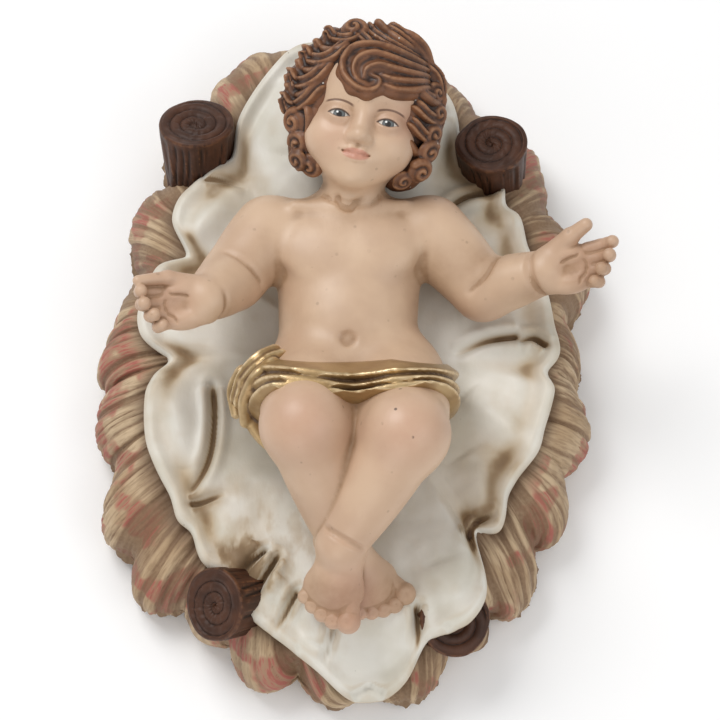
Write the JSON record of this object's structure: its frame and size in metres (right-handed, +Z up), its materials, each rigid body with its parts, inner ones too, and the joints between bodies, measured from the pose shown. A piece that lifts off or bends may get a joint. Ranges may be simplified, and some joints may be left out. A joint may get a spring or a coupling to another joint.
{
  "type": "nativity infant figurine",
  "caption": "Carved and painted infant lying with open arms in an oval straw crib lined with a draped cloth, with cut log stumps at its corners.",
  "frame": {"origin": "middle of the flat underside of the crib, on the surface it stands on", "axes": "+Z up, +Y towards the child's head, +X towards the child's left hand, which is on the right as seen from the feet"},
  "size_m": [0.2566, 0.3538, 0.1388],
  "materials": {
    "skin_paint": "semi-matt hand-painted plaster with a brown wash in the creases",
    "hair_paint": "satin reddish brown paint, rubbed lighter on the ridges",
    "gilt_paint": "worn antique gold paint with a brown wash",
    "cloth_paint": "off-white paint with a sandy brown wash in the folds",
    "straw_paint": "matt beige paint with a brown wash and dry-brushed crimson strokes",
    "bark_paint": "dark chocolate brown paint with a soft sheen"
  },
  "bodies": {
    "root": {"child": "skin_paint", "crib": "straw_paint"}
  },
  "joints": []
}
